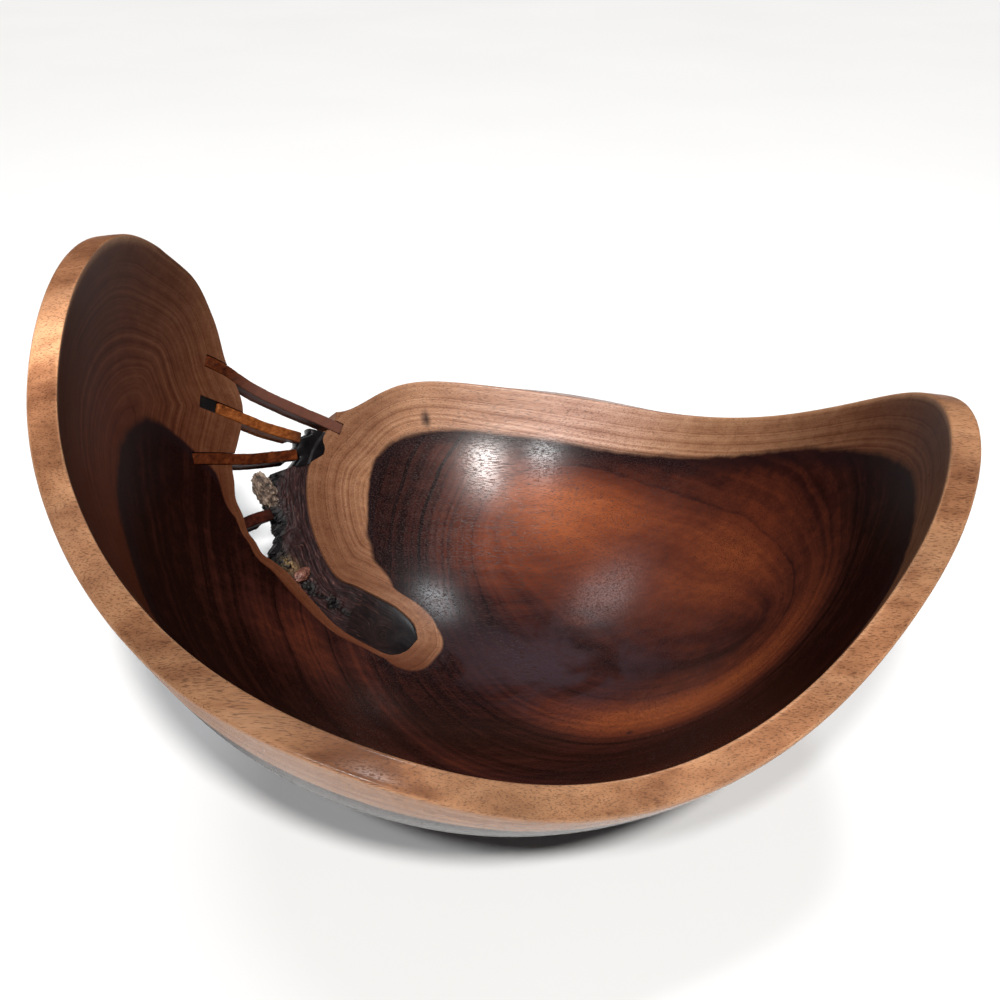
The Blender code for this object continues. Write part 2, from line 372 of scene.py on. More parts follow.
def shade(item, sharp_angle):
    """Smooth shading, with edges above an angle in degrees kept sharp."""
    item.data.shade_smooth()
    item.data.set_sharp_from_angle(angle=math.radians(sharp_angle))
    item.modifiers.new("weighted_normals", "WEIGHTED_NORMAL").keep_sharp = True
    return item


# ------------ the bowl

def bend(start, corner, end):
    """Rows that round a corner off."""
    return [start * (1 - t) ** 2 + corner * 2 * t * (1 - t) + end * t ** 2 for t in ARRIS_SHARES]


def bowl_rows():
    """Rows of points up the inside, over the rim and down the outside to the foot."""
    azimuth = np.linspace(-180, 180, COLUMNS, endpoint=False)
    inner_edge = rim_station(azimuth, 0.0)
    outer_edge = rim_station(azimuth, WALL)
    inner_top = inner_edge - INNER_ARRIS / pitch(inner_edge, 0.0)
    outer_top = outer_edge - OUTER_ARRIS / pitch(outer_edge, WALL)
    outer_radii = section(STATIONS, WALL)[0]
    foot_station = np.interp(FOOT_RADIUS + 3 * FOOT_FLARE, outer_radii, STATIONS)

    inside = [
        wall(azimuth, FLOOR_CENTRE + (inner_top - FLOOR_CENTRE) * share, 0.0)
        for share in np.linspace(0, 1, INNER_ROWS + 1)[1:]
    ]
    rim = [
        wall(azimuth, rim_station(azimuth, depth), depth)
        for depth in np.linspace(INNER_ARRIS, WALL - OUTER_ARRIS, RIM_ROWS)
    ]
    outside = [
        wall(azimuth, outer_top + (foot_station - outer_top) * share, WALL)
        for share in np.linspace(0, 1, OUTER_ROWS)
    ]
    inner_arris = bend(inside[-1], wall(azimuth, inner_edge, 0.0), rim[0])
    outer_arris = bend(rim[-1], wall(azimuth, outer_edge, WALL), outside[0])
    return inside + inner_arris + rim + outer_arris + outside + foot_rows(azimuth)


def foot_rows(azimuth):
    """Rows from the outside onto the flat foot and across its shallow turning grooves."""
    angle = np.radians(azimuth)
    places = curve(FOOT_SECTION, np.linspace(0, len(FOOT_SECTION) - 1, FOOT_FLARE_ROWS)) * MM
    flat = np.linspace(FOOT_SECTION[-1][0] * MM, FOOT_HOLE, FOOT_FLAT_ROWS)[1:]
    grooves = FOOT_GROOVE_DEPTH * np.maximum(0.0, np.cos(math.tau * flat / FOOT_GROOVE_PITCH)) ** 5
    places = np.concatenate([places, np.stack([flat, grooves], 1)])
    return [
        np.stack([radius * np.sin(angle), -radius * np.cos(angle), height + 0 * angle], 1)
        for radius, height in places
    ]


def bowl_mesh():
    """The bowl with its seam and its slots cut by one tool."""
    floor = np.array([0.0, 0.0, INNER_PROFILE[1][1] * MM])
    item = tube("carved_bowl", bowl_rows(), floor, np.zeros(3))
    lines = dict(STITCHES)
    lines["stitch_second"] = WING_PLUG_LINE[:1] + lines["stitch_second"]
    opening = open_seam()
    combine(opening, [slot(name, line) for name, line in lines.items()], "UNION")
    combine(item, [opening], "DIFFERENCE")
    return shade(item, 38)


def gap_to(places, marks, widths=1.0):
    """Distance from each place to its nearest mark, plain and as a share of the marks' widths."""
    plain = np.empty(len(places))
    share = np.empty(len(places))
    for start in range(0, len(places), POINTS_AT_ONCE):
        here = slice(start, start + POINTS_AT_ONCE)
        gaps = np.linalg.norm(places[here][:, None] - marks[None], axis=2)
        plain[here] = gaps.min(axis=1)
        share[here] = (gaps / widths).min(axis=1)
    return plain, share


def through_wall(places):
    """How far each point is through the wall: 0 on the inner face and 1 on the outer one."""
    profile = np.stack(section(STATIONS[::6], 0.0), 1)
    radius = np.hypot(places[:, 0], places[:, 1])
    here = np.stack([radius, places[:, 2]], 1)
    return np.clip(gap_to(here, profile)[0] / WALL, 0.0, 1.0)


def seam_border(places):
    """Distance from the seam in millimetres, and as a share of its pale border's width there."""
    along = np.linspace(SEAM_TIP, SEAM_TOP, 260)
    share = np.full(len(places), 9.0)
    distance = np.full(len(places), 999.0)
    for rail, widths in ((wing_rail(along), WING_BORDER), (curve(SEAM_BACK_SIDE, along), BACK_BORDER)):
        width = table(widths, along)
        for depth in (0.0, WALL / 2, WALL):
            edge = wall_place(rail[:, 0], rail[:, 1], depth)
            gaps, shares = gap_to(places, edge, width * MM)
            distance = np.minimum(distance, gaps / MM)
            share = np.minimum(share, shares)
    return distance, share


def patch(x, y, centre_x, centre_y, length, width, turn, strength):
    """A soft-edged ellipse in plan, in millimetres."""
    angle = math.radians(turn)
    along = (x - centre_x) * math.cos(angle) + (y - centre_y) * math.sin(angle)
    across = (y - centre_y) * math.cos(angle) - (x - centre_x) * math.sin(angle)
    return strength * np.exp(-(along / length) ** 2 - (across / width) ** 2)


def sapwood_depth(azimuth):
    """Depth of the sapwood below the log's outside in millimetres, smoothed over ten degrees."""
    turned = [(azimuth + step + 180) % 360 - 180 for step in np.linspace(-5, 5, 11)]
    return np.mean([table(SAPWOOD, angles) for angles in turned], axis=0)


def growth_layers(log_depth, distance):
    """Depth of the growth layer, which follows the log's outside and bends round the seam."""
    outside = np.exp(-np.clip(log_depth, -9, 400) * 0.85 / LAYER_BLEND)
    return -LAYER_BLEND * np.log(outside + np.exp(-distance / LAYER_BLEND) + 1e-40)


def small_knot(plan_x, plan_y):
    """Distance from the nearest pinhead knot, in that knot's size."""
    gaps = [np.hypot(plan_x - x, plan_y - y) / size for x, y, size in SMALL_KNOTS]
    return np.clip(np.min(gaps, axis=0), 0, 9)


def paint_bowl(item):
    """Works out where the wood is pale, warm or dark, and its growth rings."""
    places = corners(item)
    x, y, z = places.T
    plan_x = x / MM
    plan_y = y / MM
    azimuth = np.degrees(np.arctan2(x, -y))
    log_depth = (log_height(x, y) - z) / MM
    distance, border = seam_border(places)
    ring = sum(np.hypot(plan_x - fx, plan_y - fy) for fx, fy in RING_FOCI) / 2
    warm = sum(patch(plan_x, plan_y, *values) for values in WARM_PATCHES)
    warm += np.exp(-((ring - WARM_RING) / WARM_RING_WIDTH) ** 2) * patch(plan_x, plan_y, *WARM_RING_PATCH)
    on_inside = rise(-through_wall(places), -0.6, -0.1)
    # Painted shade: the sapwood on the inner face turns brown where it faces away from the light, and it is
    # also browned along the seam's pale border.
    sapwood_shade_and_brown = table(SAPWOOD_PAINTED_SHADE, azimuth) * rise(log_depth, 0.8, 4) * on_inside
    values = {
        "layer_depth": growth_layers(log_depth, distance),
        "sapwood_edge": log_depth - sapwood_depth(azimuth),
        "seam_border": border,
        "rim": 1 - rise(log_depth, 0.2, 1.6),
        # Painted light and shade on the rim, by azimuth.
        "rim_painted_light": table(RIM_PAINTED_LIGHT, azimuth),
        "ring": ring,
        "warm": warm,
        "sapwood_shade_and_brown": np.maximum(sapwood_shade_and_brown, 0.55 * np.exp(-(border / 1.25) ** 4)),
        # A painted sheen over the sapwood at the back.
        "painted_sheen": patch(plan_x, plan_y, *PAINTED_SHEEN_PATCH),
        # A painted purple-grey haze of reflection over the floor of the bowl.
        "painted_haze": patch(plan_x, plan_y, *PAINTED_HAZE_PATCH),
        "gloss": 1 - GLOSS_LOSS * rise(np.abs(plan_x - GLOSS_CENTRE), *GLOSS_FADE),
        "small_knot": small_knot(plan_x, plan_y),
    }
    for name, value in values.items():
        give(item, name, value)


# ------------ the seam and what fills it

def wing_rail(along):
    """The seam's wing side, which is wavy where no bark lies against it."""
    places = curve(SEAM_WING_SIDE, along)
    free = rise(along, 6.0, 7.0) * rise(-along, -9.6, -9.0)
    places[..., 0] += free * (0.3 * np.sin(2.9 * along + 0.4) + 0.26 * np.sin(8.3 * along + 1.0))
    return places


def seam_place(along, across, depth):
    """Points in the seam: along counts its stations, across runs from the wing side to the back side."""
    along = np.asarray(along, float)
    across = np.asarray(across, float)[..., None]
    place = wing_rail(along) * (1 - across) + curve(SEAM_BACK_SIDE, along) * across
    return wall_place(place[..., 0], place[..., 1], depth)


def seam_width(along):
    """Metres across the seam."""
    return np.linalg.norm(seam_place(along, 0.0, 0.0) - seam_place(along, 1.0, 0.0), axis=-1)


def open_seam():
    """Cutter for the seam, widened at the faces so that the free edges come out rounded."""
    depths = np.array(SEAM_CUT_DEPTHS) * MM
    from_face = np.clip(np.minimum(depths, WALL - depths), 0.0, SEAM_ROUNDING_DEPTH)
    widening = SEAM_ROUNDING * (1 - from_face / SEAM_ROUNDING_DEPTH) ** 2
    rings = []
    for along in np.linspace(SEAM_TIP, SEAM_TOP, SEAM_CUT_STEPS):
        width = max(seam_width(along), 0.004)
        wing = -widening / width * rise(along, 6.0, 6.6)
        back = 1 + widening / width * rise(along, 10.0, 10.6)
        wing_side = seam_place(np.full(len(depths), along), wing, depths)
        back_side = seam_place(np.full(len(depths), along), back, depths)
        rings.append(np.concatenate([wing_side, back_side[::-1]]))
    return loft("open_seam", rings)


def seam_rings(stations, loops):
    """Rings in the seam through one loop of (across, depth) places at each station."""
    return np.array([
        seam_place(np.full(len(loop), along), loop[:, 0], loop[:, 1])
        for along, loop in zip(stations, loops)
    ])


def pool_loop(along):
    """Section of the pool, which creeps up a little where it meets the wood."""
    across = np.linspace(0.0, 1.0, 34)
    creep = np.exp(-across * 14) + np.exp(-(1 - across) * 14)
    end = math.exp(-(along - SEAM_TIP) * 7)
    join = float(rise(along, POOL_TOP - 0.7, POOL_TOP))
    top = POOL_FACE_DEPTH - POOL_CREEP * np.clip(creep + end, 0, 1) * (1 - join) - POOL_CREEP * join
    over = np.stack([0.004 + 0.992 * across, top * MM], 1)
    under = np.array([(0.996, 0.006), (0.996, 0.0125), (0.004, 0.0125), (0.004, 0.006)])
    return np.concatenate([over, under])


def pool_mesh():
    """The smooth dark resin at the seam's tip."""
    stations = np.linspace(SEAM_TIP + 0.03, POOL_TOP, 70)
    loops = np.array([pool_loop(along) for along in stations])
    rings = seam_rings(stations, loops)
    item = loft("seam_resin_pool", rings)
    give_rings(item, "flow", bark_flow(rings, loops[..., 0], seam_width(stations)[:, None]) / MM)
    give_rings(item, "run", seam_run(np.repeat(stations[:, None], loops.shape[1], axis=1)))
    give_rings(item, "brown", rise(-rings[..., 0], 0.05, 0.074))
    return shade(item, 50)


def distance_to(places, line):
    """Metres from each point to the nearest of some places on the wall's face."""
    marks = wall_place(*np.array(line, float).T, 0.0012)
    return np.min([np.linalg.norm(places - mark, axis=-1) for mark in marks], axis=0)


def bark_flow(places, across, width):
    """Position across the bark's streaks in metres: from side to side, but round and round at a knot."""
    flow = (1 - across) * width
    for azimuth, height, radius in BARK_KNOTS:
        gap = distance_to(places, [(azimuth, height)])
        swirl = np.exp(-(gap / radius) ** 4)
        flow = flow * (1 - swirl) + gap * swirl
    return flow + 0.0016 * roughness_noise(places, 0.014, 3, 2)


def seam_run(along):
    """Millimetres along the seam from its tip."""
    stations = np.linspace(SEAM_TIP, SEAM_TOP, 400)
    middle = seam_place(stations, 0.5, 0.0)
    lengths = np.linalg.norm(np.diff(middle, axis=0, prepend=middle[:1]), axis=1)
    return np.interp(along, stations, np.cumsum(lengths)) / MM


def bark_loop(along):
    """Section of the bark: over its face, down its free edge, which is loose higher up, and back."""
    free = table(BARK_FREE_EDGE, along)
    loose = rise(along, 6.2, 6.7)
    share = np.linspace(1.0, 0.0, 64)
    over = np.stack([free + (0.992 - free) * share, np.full(64, 0.0011)], 1)
    over[:, 1] += loose * 0.0032 * (1 - share) ** 5
    side_depth = np.linspace(over[-1, 1] + 0.0004, 0.0122, 18)
    bulge = loose * 0.03 * np.sin(np.linspace(0.3, math.pi, 18))
    side = np.stack([free - bulge, side_depth], 1)
    under = np.stack([np.linspace(free + 0.02, 0.99, 8), np.full(8, 0.0124)], 1)
    return np.concatenate([over, side, under])


def towards(rings, ahead):
    """Unit steps from each point of the rings to the points ahead of them."""
    step = ahead - rings
    return step / np.linalg.norm(step, axis=-1, keepdims=True)


def bark_crumble(rings, across, along, width):
    """Where the bark crumbles: 1 at its free edge and at a few places, 0 where it is whole."""
    free = table(BARK_FREE_EDGE, along)
    near_edge = np.exp(-np.maximum(across - free, 0.0) * width / 0.003) * rise(along, 5.9, 6.3)
    spots = [np.exp(-(distance_to(rings, [centre]) / 0.0042) ** 2) for centre in CRUMBLE_CENTRES]
    return np.clip(near_edge + sum(spots), 0.0, 1.0)


def bark_ridges(rings, flow):
    """Ridges across the streaks, stronger in some places than in others."""
    ridges = np.sin(flow * 2600 + 2.2 * roughness_noise(rings, 0.02, 5, 2))
    return ridges * (0.35 + 0.65 * rise(roughness_noise(rings, 0.011, 15, 2), -0.2, 0.3))


def bark_mesh():
    """Old bark, ridged along the seam and crumbling at its free edge."""
    stations = np.linspace(BARK_BOTTOM, BARK_TOP, 230)
    loops = np.array([bark_loop(along) for along in stations])
    across = loops[..., 0]
    depth = loops[..., 1]
    rings = seam_rings(stations, loops)
    along = np.repeat(stations[:, None], rings.shape[1], axis=1)
    width = seam_width(stations)[:, None]
    outward = towards(rings, seam_place(along, across, depth + MM))
    sideways = towards(rings, seam_place(along, across + 0.01, depth))

    flow = bark_flow(rings, across, width)
    crumble = bark_crumble(rings, across, along, width)
    lumps = roughness_noise(rings, 0.0042, 7, 5)
    fine = roughness_noise(rings, 0.0012, 9, 4)
    knot = distance_to(rings, [BARK_KNOTS[0][:2]])
    crack = np.exp(-(distance_to(rings, wall_crack(BARK_CRACK)) / 0.0013) ** 2)
    free_part = rise(-across, -0.985, -0.9)

    lift = (0.00011 * bark_ridges(rings, flow) + 0.0003 * lumps) * free_part
    lift += crumble * (0.003 * lumps + 0.0013 * fine) - 0.0019 * crack
    lift += 0.0009 * np.exp(-(knot / 0.004) ** 2) + 0.0004 * np.exp(-((knot - 0.0065) / 0.0014) ** 2)
    on_top = rise(-depth, -0.005, -0.003)
    free = table(BARK_FREE_EDGE, along)
    open_side = rise(along, 6.2, 6.7) * rise(-across, -free - 0.1, -free)
    swell = open_side * (0.0036 * lumps + 0.0012 * fine) * free_part
    places = rings - outward * (lift * on_top)[..., None] + sideways * swell[..., None]
    fibre = np.exp(-(distance_to(places, [FIBRE_CENTRE]) / 0.004) ** 2)
    item = loft("bark_in_seam", places)
    give_rings(item, "flow", flow / MM)
    give_rings(item, "run", seam_run(along))
    give_rings(item, "crumble", crumble)
    give_rings(item, "fibre", fibre * rise(-along, -7.2, -6.2))
    give_rings(item, "height", lift / MM)
    return shade(item, 80)


def wall_crack(line):
    """A crack's places, closely spaced, with a ragged course."""
    places = curve(line, np.linspace(0, len(line) - 1, 50))
    wander = [noise.noise(Vector((index * 0.35, 4.0, 1.0))) for index in range(len(places))]
    places[:, 0] += 0.8 * np.array(wander)
    return places


def back_plug_loop(along):
    """Section of the back fill: a ragged free edge, a face, and a film that lies over the wood."""
    near = 0.8 + 0.035 * math.sin(5.2 * along) + 0.02 * math.sin(13 * along)
    fades = rise(along, PLUG_BOTTOM, 8.75) * rise(-along, -9.9, -8.75)
    smear = 0.001 + PLUG_SMEAR * float(fades)
    reach = np.concatenate([np.linspace(near, 0.985, 14), np.linspace(0.99, 0.99 + smear, 8)])
    film = rise(reach, 0.97, 1.0)
    over = np.stack([reach, 0.0006 * (1 - film) - 0.00016 * film], 1)
    over[:, 1] += 0.0011 * np.exp(-np.linspace(0, 7, 22))
    over[-1, 1] = 0.0003
    wood_side = [(0.99, 0.006), (0.99, 0.0118)]
    free_side = [(near + 0.03, 0.0118), (near, 0.008), (near - 0.01, 0.004)]
    return np.concatenate([over, wood_side, free_side])


def back_plug_mesh():
    """Black resin round the ends of the second and third stitches, smeared a little over the wood."""
    stations = np.linspace(PLUG_BOTTOM, PLUG_TOP, 44)
    item = loft("back_resin_fill", seam_rings(stations, [back_plug_loop(along) for along in stations]))
    return shade(item, 50)


def lump(name, azimuth, height, depth, radii, seed, rough):
    """Rough rounded lump; its radii run round the bowl, up the wall and through the wall."""
    polar = np.linspace(0, math.pi, 46)[1:-1]
    turn = np.linspace(0, math.tau, 72, endpoint=False)
    ball = np.stack([
        np.outer(np.sin(polar), np.cos(turn)),
        np.outer(np.sin(polar), np.sin(turn)),
        np.outer(np.cos(polar), np.ones(len(turn))),
    ], axis=-1)
    relief = 0.14 * roughness_noise(ball, 0.6, seed, 2) + rough * roughness_noise(ball, 0.16, seed, 4)
    centre = wall_place(azimuth, height, depth)
    through = towards(centre, wall_place(azimuth, height, depth + MM))
    around = towards(centre, wall_place(azimuth + 0.1, height, depth))
    up = np.cross(through, around)
    local = ball * (1 + relief[..., None]) * np.array(radii)
    rings = centre + local[..., :1] * around + local[..., 1:2] * up + local[..., 2:] * through
    to_pole = through * radii[2] * 0.96
    item = tube(name, rings, centre + to_pole, centre - to_pole)
    give_rings(item, "relief", relief)
    return shade(item, 85)


# ------------ the stitches

def bar_frames(line, count):
    """Places along a bar's line with its direction there and how far along it they are."""
    places = curve(line, np.linspace(0, len(line) - 1, count))
    points = wall_place(places[:, 0], places[:, 1], 0.0)
    along = np.gradient(points, axis=0)
    along /= np.linalg.norm(along, axis=1, keepdims=True)
    run = np.concatenate([[0], np.cumsum(np.linalg.norm(np.diff(points, axis=0), axis=1))])
    return places, along, run


def slot(name, line):
    """Room for a stitch: open to the inside of the bowl, except the lower one's blind mortise."""
    lower = name == "stitch_lower"
    top = LOWER_STITCH_DEPTH - SLOT_CLEARANCE if lower else -SLOT_OPENING
    bottom = (LOWER_STITCH_DEPTH if lower else STITCH_TOP) + STITCH_THICKNESS + SLOT_CLEARANCE
    places, along, _ = bar_frames(line, 25)
    rings = []
    for index, place in enumerate(places):
        upper = wall_place(*place, top)
        through = wall_place(*place, bottom) - upper
        side = np.cross(through, along[index])
        side *= (STITCH_WIDTH / 2 + SLOT_CLEARANCE) / np.linalg.norm(side)
        upper = upper + along[index] * SLOT_CLEARANCE * ((index == len(places) - 1) - (index == 0))
        rings.append(np.array([upper + side, upper - side, upper - side + through, upper + side + through]))
    return loft("slot_" + name, rings)


def stitch_mesh(name, seed, aged_from, aged_to):
    """A split wooden bar with worn corners and a slightly uneven cut, darkened towards its far end."""
    top = LOWER_STITCH_DEPTH if name == "stitch_lower" else STITCH_TOP
    places, along, run = bar_frames(STITCHES[name], 110)
    angle = np.linspace(0, math.tau, 48, endpoint=False)
    outline = np.stack([np.cos(angle), np.sin(angle)], 1)
    outline = np.sign(outline) * np.abs(outline) ** 0.24
    to_end = np.minimum(run, run[-1] - run)
    rings = []
    for index, place in enumerate(places):
        centre = wall_place(*place, top + STITCH_THICKNESS / 2)
        through = towards(wall_place(*place, top), wall_place(*place, top + STITCH_THICKNESS))
        side = np.cross(through, along[index])
        side /= np.linalg.norm(side)
        shrink = 1 - 0.1 * math.exp(-to_end[index] / 0.0004)
        local = outline * np.array([STITCH_WIDTH, STITCH_THICKNESS]) / 2 * shrink
        rings.append(centre + local[:, :1] * side + local[:, 1:] * through)
    rings = np.array(rings)
    away = towards(rings.mean(axis=1, keepdims=True), rings)
    in_gap = rise(to_end, 0.004, 0.009)[:, None]
    wear = 0.00022 * roughness_noise(rings, 0.008, seed, 3)
    wear += 0.00008 * roughness_noise(rings, 0.0013, seed, 2)
    rings = rings + away * (wear * in_gap - STITCH_END_GAP)[..., None]
    rings[..., 2] -= STITCH_SAG * in_gap * rise(np.sin(angle), -0.2, 0.9)
    item = loft(name + "_bar", rings)
    run_all, angle_all = np.meshgrid(run, angle, indexing="ij")
    give_rings(item, "run", run_all / MM)
    give_rings(item, "aged", rise(run_all / run[-1], aged_from, aged_to))
    # The bar's underside, which its material darkens as painted shade.
    give_rings(item, "under", rise(np.sin(angle_all), 0.1, 0.9))
    return shade(item, 42)


def wing_plug_mesh():
    """Black resin that fills the second stitch's slot beyond its end."""
    places, along, _ = bar_frames(WING_PLUG_LINE, 12)
    across = np.linspace(-1, 1, 15)
    rings = []
    for index, place in enumerate(places):
        sink = 0.0004 + 0.0004 * (1 - across ** 2)
        upper = wall_place(np.full(15, place[0]), np.full(15, place[1]), sink)
        lower = wall_place(*place, 0.0061)
        side = np.cross(lower - upper[0], along[index])
        side *= (STITCH_WIDTH / 2 + 0.0001) / np.linalg.norm(side)
        bottom = np.array([lower + side, lower - side])
        rings.append(np.concatenate([upper + across[:, None] * side, bottom]))
    item = loft("wing_resin_fill", rings)
    return shade(item, 50)


# ------------ materials

class Paint:
    """Short calls that add nodes to one material. The roughness and specular that it is made with stay
    on their sockets as plain averages where nodes are linked to them later."""

    def __init__(self, name, roughness, specular=0.5):
        self.material = bpy.data.materials.new(name)
        self.material.use_nodes = True
        self.tree = self.material.node_tree
        self.shader = self.tree.nodes["Principled BSDF"]
        self.shader.inputs["Specular IOR Level"].default_value = specular
        self.set("Roughness", roughness)
        self.place = self.tree.nodes.new("ShaderNodeTexCoord").outputs["Object"]

    def set(self, name, value):
        self.feed(self.shader.inputs[name], value)

    def feed(self, socket, value):
        if isinstance(value, bpy.types.NodeSocket):
            self.tree.links.new(value, socket)
        elif isinstance(value, tuple) and len(value) == 3 and socket.type == "RGBA":
            socket.default_value = (*value, 1.0)
        else:
            socket.default_value = value

    def add(self, kind, inputs, **options):
        """Adds a node, sets its options, and feeds its inputs by their names or numbers."""
        node = self.tree.nodes.new("ShaderNode" + kind)
        for name, option in options.items():
            setattr(node, name, option)
        for name, value in inputs.items():
            self.feed(node.inputs[name], value)
        return node.outputs

    def finish(self, colour, roughness, normal):
        """Sets what varies over the piece, and gives the material."""
        self.set("Base Color", colour)
        self.set("Roughness", roughness)
        self.set("Normal", normal)
        return self.material

    def value(self, name):
        return self.add("Attribute", {}, attribute_name=name)["Fac"]

    def math(self, operation, first, second=0.0, third=0.0):
        return self.add("Math", {0: first, 1: second, 2: third}, operation=operation)[0]

    def times(self, value, factor, plus=0.0):
        return self.math("MULTIPLY_ADD", value, factor, plus)

    def around(self, value, noise, amount):
        """The value plus a noise that swings by half of the amount to both sides."""
        return self.math("ADD", value, self.times(noise, amount, -amount / 2))

    def join(self, x, y, z=0.0):
        return self.add("CombineXYZ", {0: x, 1: y, 2: z})[0]

    def vector(self, operation, first, second):
        return self.add("VectorMath", {0: first, 1: second}, operation=operation)[0]

    def stretch(self, vector, scale):
        return self.vector("MULTIPLY", vector, scale)

    def noise(self, vector, scale, detail=2.0, roughness=0.5, distortion=0.0):
        inputs = {"Vector": vector, "Scale": scale, "Detail": detail, "Roughness": roughness}
        return self.add("TexNoise", {**inputs, "Distortion": distortion})["Fac"]

    def lines(self, value, scale, detail=3.0, roughness=0.6):
        """Noise along one number, for rings and layers."""
        inputs = {"W": value, "Scale": scale, "Detail": detail, "Roughness": roughness}
        return self.add("TexNoise", inputs, noise_dimensions="1D")["Fac"]

    def cells(self, vector, scale):
        return self.add("TexVoronoi", {"Vector": vector, "Scale": scale})["Distance"]

    def band(self, value, low, high, start=0.0, end=1.0):
        """Smooth step of a value, from start at low to end at high."""
        inputs = {"Value": value, "From Min": low, "From Max": high, "To Min": start, "To Max": end}
        return self.add("MapRange", inputs, interpolation_type="SMOOTHSTEP")["Result"]

    def ramp(self, value, *stops):
        """Colours by value; each stop is (place, colour)."""
        node = self.tree.nodes.new("ShaderNodeValToRGB")
        elements = node.color_ramp.elements
        while len(elements) < len(stops):
            elements.new(1.0)
        for element, (position, colour) in zip(elements, stops):
            element.position = position
            element.color = (*colour, 1.0)
        self.feed(node.inputs["Fac"], value)
        return node.outputs["Color"]

    def mix(self, share, first, second, blend="MIX"):
        return self.add("Mix", {0: share, 6: first, 7: second}, data_type="RGBA", blend_type=blend)[2]

    def bump(self, height, distance, strength=1.0, after=None):
        inputs = {"Distance": distance, "Strength": strength, "Height": height}
        if after is not None:
            inputs["Normal"] = after
        return self.add("Bump", inputs)["Normal"]


# The wood's grain runs along X, and these are the colours of its dark details.
GRAIN_STRETCH = (0.08, 1.0, 1.0)
STREAK_STRETCH = (0.1, 1.0, 1.0)
# A purple-grey colour painted as a haze of reflection on the floor of the bowl.
PAINTED_HAZE_COLOUR = (0.038, 0.023, 0.029)
EDGE_LINE = (0.01, 0.0045, 0.0055)
PORE_BROWN = (0.024, 0.007, 0.004)
KNOT_BLACK = (0.008, 0.006, 0.008)


def pores(paint):
    """Short dark ticks along the log: 1 in a pore and 0 beside it."""
    ticks = paint.noise(paint.stretch(paint.place, GRAIN_STRETCH), 2700.0, 1.0, 0.5, 0.2)
    return paint.band(paint.around(ticks, paint.noise(paint.place, 60.0), 0.1), 0.55, 0.62)


def pale_wood(paint, drift, streak):
    """Sapwood: growth layers that follow the log's outside, turned brown by painted shade, whitened by a
    painted sheen at the back, and the rim's painted light and shade.
    """
    layer_place = paint.times(drift, 0.5, paint.value("layer_depth"))
    layers = paint.lines(layer_place, 0.34, 4.0, 0.65)
    tone = paint.math("ADD", paint.times(layers, 0.85), paint.times(streak, 0.4))
    tone = paint.math("SUBTRACT", tone, 0.125)
    pale = paint.ramp(
        tone, (0.3, (0.2, 0.085, 0.042)), (0.44, (0.33, 0.155, 0.08)),
        (0.56, (0.42, 0.215, 0.115)), (0.72, (0.5, 0.275, 0.155)),
    )
    # The browner sapwood that the painted shade turns it to.
    brown = paint.ramp(
        tone, (0.28, (0.044, 0.008, 0.0028)), (0.44, (0.06, 0.0125, 0.0045)),
        (0.56, (0.074, 0.0175, 0.0068)), (0.74, (0.1, 0.027, 0.0115)),
    )
    # Painted sheen: a whitish reflection that lightens and cools the sapwood at the back.
    pale = paint.mix(paint.value("painted_sheen"), pale, (1.42, 1.72, 2.5), "MULTIPLY")
    pale = paint.mix(paint.value("sapwood_shade_and_brown"), pale, brown)
    patches = paint.noise(paint.stretch(paint.place, (0.6, 1.0, 1.0)), 34.0, 4.0, 0.6)
    worn = paint.ramp(
        patches, (0.33, (0.5, 0.44, 0.42)), (0.5, (0.78, 0.74, 0.7)), (0.66, (1.0, 0.97, 0.92)))
    pale = paint.mix(paint.value("rim"), pale, worn, "MULTIPLY")
    # Painted light and shade on the rim, by azimuth.
    rim_painted_light = paint.band(paint.value("rim"), 0.0, 1.0, 1.0, paint.value("rim_painted_light"))
    return paint.mix(1.0, pale, paint.join(rim_painted_light, rim_painted_light, rim_painted_light), "MULTIPLY")


def dark_wood(paint, drift, streak, fine_streak):
    """Heartwood: warm patches, rings and streaks, with a painted purple-grey haze of reflection over the
    floor of the bowl.
    """
    ring_place = paint.math("ADD", paint.value("ring"), drift)
    ring_lines = paint.band(paint.lines(ring_place, 0.2, 2.0, 0.5), 0.6, 0.7)
    warmth = paint.around(paint.value("warm"), paint.lines(ring_place, 0.085, 5.0, 0.62), 0.32)
    warmth = paint.around(warmth, streak, 0.3)
    warmth = paint.around(warmth, fine_streak, 0.14)
    warmth = paint.around(warmth, paint.lines(ring_place, 0.33), 0.3)
    warmth = paint.times(ring_lines, -0.13, warmth)
    heart = paint.ramp(
        warmth, (0.0, (0.006, 0.0012, 0.001)), (0.16, (0.03, 0.007, 0.005)),
        (0.42, (0.105, 0.023, 0.01)), (0.72, (0.215, 0.052, 0.016)), (1.0, (0.36, 0.1, 0.03)),
    )
    # Painted haze: a purple-grey reflection, broken into clouds, over the floor of the bowl.
    cloud = paint.noise(paint.stretch(paint.place, (0.7, 1.0, 1.0)), 38.0, 4.0, 0.6, 0.8)
    painted_haze_share = paint.times(paint.value("painted_haze"), paint.band(cloud, 0.38, 0.6, 0.15, 1.0))
    return paint.mix(painted_haze_share, heart, PAINTED_HAZE_COLOUR)


